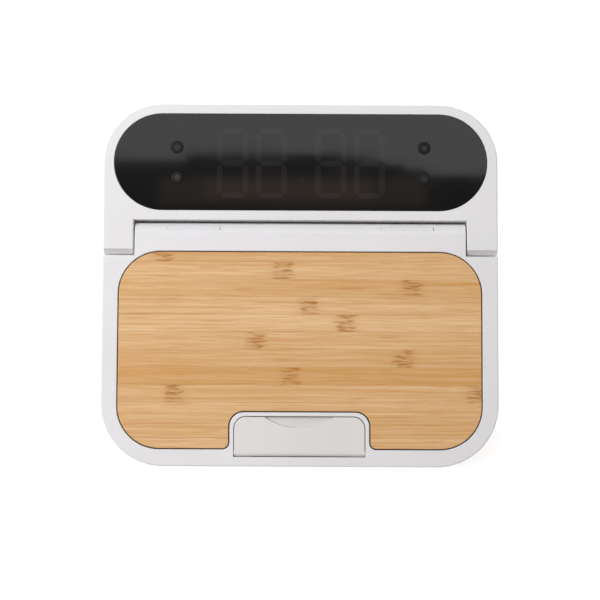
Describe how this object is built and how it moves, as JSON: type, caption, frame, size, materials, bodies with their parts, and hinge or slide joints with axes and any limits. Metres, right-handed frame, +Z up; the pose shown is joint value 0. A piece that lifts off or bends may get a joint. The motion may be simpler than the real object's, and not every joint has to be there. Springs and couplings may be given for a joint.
{
  "type": "kitchen scale",
  "caption": "Flat kitchen scale with a bamboo weighing platform, a tilting LED display head on a rear hinge and a top-side battery door.",
  "frame": {"origin": "centre of the footprint of base and head, on the surface that the rubber feet stand on", "axes": "+X to the user's right along the hinge, +Y from the user towards the display head, +Z up"},
  "size_m": [0.22, 0.202, 0.0201],
  "materials": {
    "white_abs": "moulded white ABS, fine satin texture",
    "grey_abs": "moulded light grey ABS",
    "bamboo": "laminated bamboo strips, sanded and matt lacquered",
    "window": "smoked acrylic sheet, polished",
    "black_abs": "moulded black ABS",
    "rubber": "moulded rubber",
    "aluminium": "milled aluminium",
    "steel": "zinc-plated steel",
    "circuit_board": "green solder mask on glass-epoxy",
    "cell_wrap": "plain printed sleeve",
    "wire_jacket": "PVC jacket"
  },
  "bodies": {
    "base": {"aaa_cell_front": "cell_wrap", "aaa_cell_rear": "cell_wrap", "base_bottom_cover": "grey_abs", "base_cable": "wire_jacket", "base_cover_screw_1": "steel", "base_cover_screw_2": "steel", "base_cover_screw_3": "steel", "base_cover_screw_4": "steel", "base_foot_front_left": "rubber", "base_foot_front_right": "rubber", "base_foot_rear_left": "rubber", "base_foot_rear_right": "rubber", "base_frame": "white_abs", "cable_plug": "black_abs", "contact_bridge": "steel", "contact_plate_negative": "steel", "contact_plate_positive": "steel", "contact_spring_front": "steel", "contact_spring_rear": "steel", "hinge_bracket_screw_left": "steel", "hinge_bracket_screw_right": "steel", "hinge_sleeve_left": "steel", "hinge_sleeve_right": "steel", "hinge_slot_cap_left": "white_abs", "hinge_slot_cap_right": "white_abs", "load_cell": "aluminium", "load_cell_base_spacer": "steel", "load_cell_lead": "wire_jacket", "load_cell_screw_1": "steel", "load_cell_screw_2": "steel", "main_board": "circuit_board"},
    "platform": {"bamboo_platform": "bamboo", "platform_carrier": "grey_abs", "load_cell_top_spacer": "steel", "platform_screw_1": "steel", "platform_screw_2": "steel"},
    "head": {"head_front_housing": "white_abs", "head_rear_cover": "white_abs", "display_window": "window", "display_board": "circuit_board", "led_digit_module": "black_abs", "display_cable": "wire_jacket", "hinge_shaft_left": "steel", "hinge_shaft_right": "steel", "head_foot_left": "rubber", "head_foot_right": "rubber", "head_cover_screw_1": "steel", "head_cover_screw_2": "steel", "head_cover_screw_3": "steel", "head_cover_screw_4": "steel", "power_button_switch": "black_abs", "tare_button_switch": "black_abs", "unit_button_switch": "black_abs", "timer_button_switch": "black_abs"},
    "battery_door": {"battery_door": "white_abs"},
    "power_button": {"power_button": "black_abs"},
    "tare_button": {"tare_button": "black_abs"},
    "unit_button": {"unit_button": "black_abs"},
    "timer_button": {"timer_button": "black_abs"}
  },
  "joints": [
    {"name": "head_tilt", "type": "hinge", "parent": "base", "child": "head", "pos_m": [0, 0.0256, 0.0105], "axis": [1, 0, 0], "range_deg": [0, 90]},
    {"name": "battery_door_hinge", "type": "hinge", "parent": "base", "child": "battery_door", "pos_m": [0, -0.0933, 0.0175], "axis": [1, 0, 0], "range_deg": [0, 100]},
    {"name": "platform_press", "type": "slide", "parent": "base", "child": "platform", "axis": [0, 0, -1], "range_m": [0, 0.00025], "stiffness_N_per_m": 20000, "springref_m": -0.0001},
    {"name": "power_button_press", "type": "slide", "parent": "head", "child": "power_button", "axis": [0, 0, -1], "range_m": [0, 0.0005], "stiffness_N_per_m": 2000, "springref_m": -0.0003},
    {"name": "tare_button_press", "type": "slide", "parent": "head", "child": "tare_button", "axis": [0, 0, -1], "range_m": [0, 0.0005], "stiffness_N_per_m": 2000, "springref_m": -0.0003},
    {"name": "unit_button_press", "type": "slide", "parent": "head", "child": "unit_button", "axis": [0, 0, -1], "range_m": [0, 0.0005], "stiffness_N_per_m": 2000, "springref_m": -0.0003},
    {"name": "timer_button_press", "type": "slide", "parent": "head", "child": "timer_button", "axis": [0, 0, -1], "range_m": [0, 0.0005], "stiffness_N_per_m": 2000, "springref_m": -0.0003}
  ]
}
